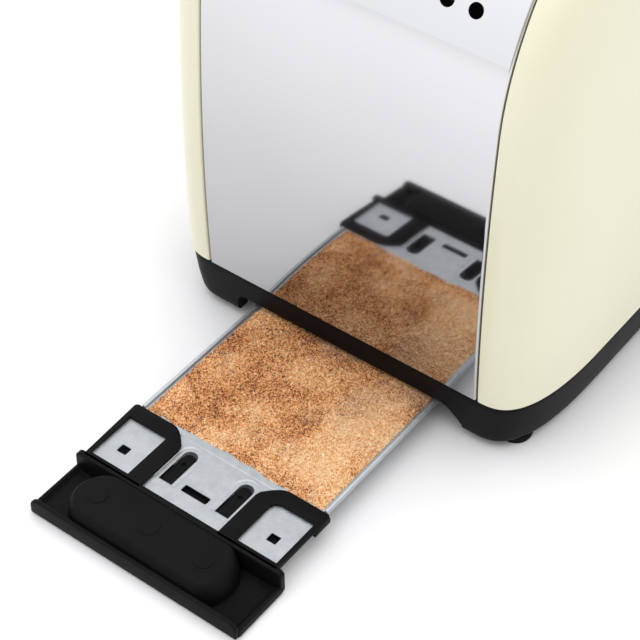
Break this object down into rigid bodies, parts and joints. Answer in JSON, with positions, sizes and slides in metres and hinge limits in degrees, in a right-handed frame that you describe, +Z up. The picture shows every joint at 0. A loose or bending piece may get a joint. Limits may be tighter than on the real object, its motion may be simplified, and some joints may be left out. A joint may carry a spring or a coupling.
{
  "type": "pop-up toaster",
  "caption": "Pop-up toaster with polished steel wrap, cream side panels and black base, its crumb tray drawn out of one end and a lever, dial and buttons at the other.",
  "frame": {"origin": "on the worktop under the middle of the whole object's box, with the crumb tray drawn out and the lever knob included", "axes": "+X from the crumb tray end to the lever end, +Y to the left side panel, +Z up"},
  "size_m": [0.4296, 0.1638, 0.2112],
  "materials": {
    "polished_steel": "mirror polished stainless steel",
    "cream_gloss": "cream lacquer, satin gloss",
    "black_plastic": "satin moulded plastic with a fine grain",
    "soft_black": "soft matt moulding",
    "rubber": "matt",
    "galvanised_steel": "zinc coated with a fine spangle",
    "plain_steel": "drawn and pressed steel",
    "mica_board": "layered mica sheet wound with heating ribbon",
    "copper_winding": "lacquered copper wire",
    "circuit_board": "lacquered board"
  },
  "bodies": {
    "body": {"base_deck": "black_plastic", "base_moulding": "black_plastic", "base_screw_lever_end_left": "plain_steel", "base_screw_lever_end_right": "plain_steel", "base_screw_tray_end_left": "plain_steel", "base_screw_tray_end_right": "plain_steel", "bottom_plate": "galvanised_steel", "chassis_plate_lever_end": "galvanised_steel", "chassis_plate_tray_end": "galvanised_steel", "circuit_board": "circuit_board", "control_fascia": "black_plastic", "cord_bushing": "rubber", "foot_lever_end_left": "rubber", "foot_lever_end_right": "rubber", "foot_tray_end_left": "rubber", "foot_tray_end_right": "rubber", "guide_rod_left": "plain_steel", "guide_rod_right": "plain_steel", "heater_inner_left": "mica_board", "heater_inner_right": "mica_board", "heater_outer_left": "mica_board", "heater_outer_right": "mica_board", "lift_spring": "plain_steel", "magnet_coil": "copper_winding", "magnet_core": "plain_steel", "potentiometer": "plain_steel", "reflector_left": "galvanised_steel", "reflector_right": "galvanised_steel", "side_panel_left": "cream_gloss", "side_panel_right": "cream_gloss", "slot_frame": "plain_steel", "steel_wrap": "polished_steel", "terminal_block": "mica_board", "tray_rail_left": "black_plastic", "tray_rail_right": "black_plastic", "tray_stop": "black_plastic"},
    "crumb_tray": {"tray_sheet": "galvanised_steel", "tray_handle": "black_plastic"},
    "carriage": {"carriage_bracket": "galvanised_steel", "bread_rack_left": "plain_steel", "bread_rack_right": "plain_steel", "keeper_plate": "plain_steel", "lever_arm": "galvanised_steel", "lever_knob": "soft_black", "lever_trim": "polished_steel"},
    "guard_outer_left": {"bread_guard_outer_left": "plain_steel"},
    "guard_inner_left": {"bread_guard_inner_left": "plain_steel"},
    "guard_outer_right": {"bread_guard_outer_right": "plain_steel"},
    "guard_inner_right": {"bread_guard_inner_right": "plain_steel"},
    "dial": {"browning_dial": "soft_black", "dial_cap": "polished_steel"},
    "defrost": {"button_defrost": "soft_black"},
    "reheat": {"button_reheat": "soft_black"},
    "cancel": {"button_cancel": "soft_black"}
  },
  "joints": [
    {"name": "tray_slide", "type": "slide", "parent": "body", "child": "crumb_tray", "axis": [-1, 0, 0], "range_m": [-0.121, 0.116]},
    {"name": "carriage_slide", "type": "slide", "parent": "body", "child": "carriage", "axis": [0, 0, 1], "range_m": [-0.058, 0.012], "stiffness_N_per_m": 60, "springref_m": 0.0291, "deforming": ["lift_spring"]},
    {"name": "guard_outer_left_slide", "type": "slide", "parent": "body", "child": "guard_outer_left", "axis": [0, -1, 0], "range_m": [-0.0015, 0.006]},
    {"name": "guard_inner_left_slide", "type": "slide", "parent": "body", "child": "guard_inner_left", "axis": [0, 1, 0], "range_m": [-0.0015, 0.006]},
    {"name": "guard_outer_right_slide", "type": "slide", "parent": "body", "child": "guard_outer_right", "axis": [0, 1, 0], "range_m": [-0.0015, 0.006]},
    {"name": "guard_inner_right_slide", "type": "slide", "parent": "body", "child": "guard_inner_right", "axis": [0, -1, 0], "range_m": [-0.0015, 0.006]},
    {"name": "dial_turn", "type": "hinge", "parent": "body", "child": "dial", "pos_m": [0.19945, 0.024, 0.0555], "axis": [1, 0, 0], "range_deg": [-135, 135]},
    {"name": "defrost_press", "type": "slide", "parent": "body", "child": "defrost", "axis": [-1, 0, 0], "range_m": [0, 0.0015], "stiffness_N_per_m": 300, "springref_m": -0.001},
    {"name": "reheat_press", "type": "slide", "parent": "body", "child": "reheat", "axis": [-1, 0, 0], "range_m": [0, 0.0015], "stiffness_N_per_m": 300, "springref_m": -0.001},
    {"name": "cancel_press", "type": "slide", "parent": "body", "child": "cancel", "axis": [-1, 0, 0], "range_m": [0, 0.0015], "stiffness_N_per_m": 300, "springref_m": -0.001}
  ],
  "couplings": [
    {"joint": "guard_outer_left_slide", "follows": "carriage_slide", "ratio": -0.1},
    {"joint": "guard_inner_left_slide", "follows": "carriage_slide", "ratio": -0.1},
    {"joint": "guard_outer_right_slide", "follows": "carriage_slide", "ratio": -0.1},
    {"joint": "guard_inner_right_slide", "follows": "carriage_slide", "ratio": -0.1}
  ]
}
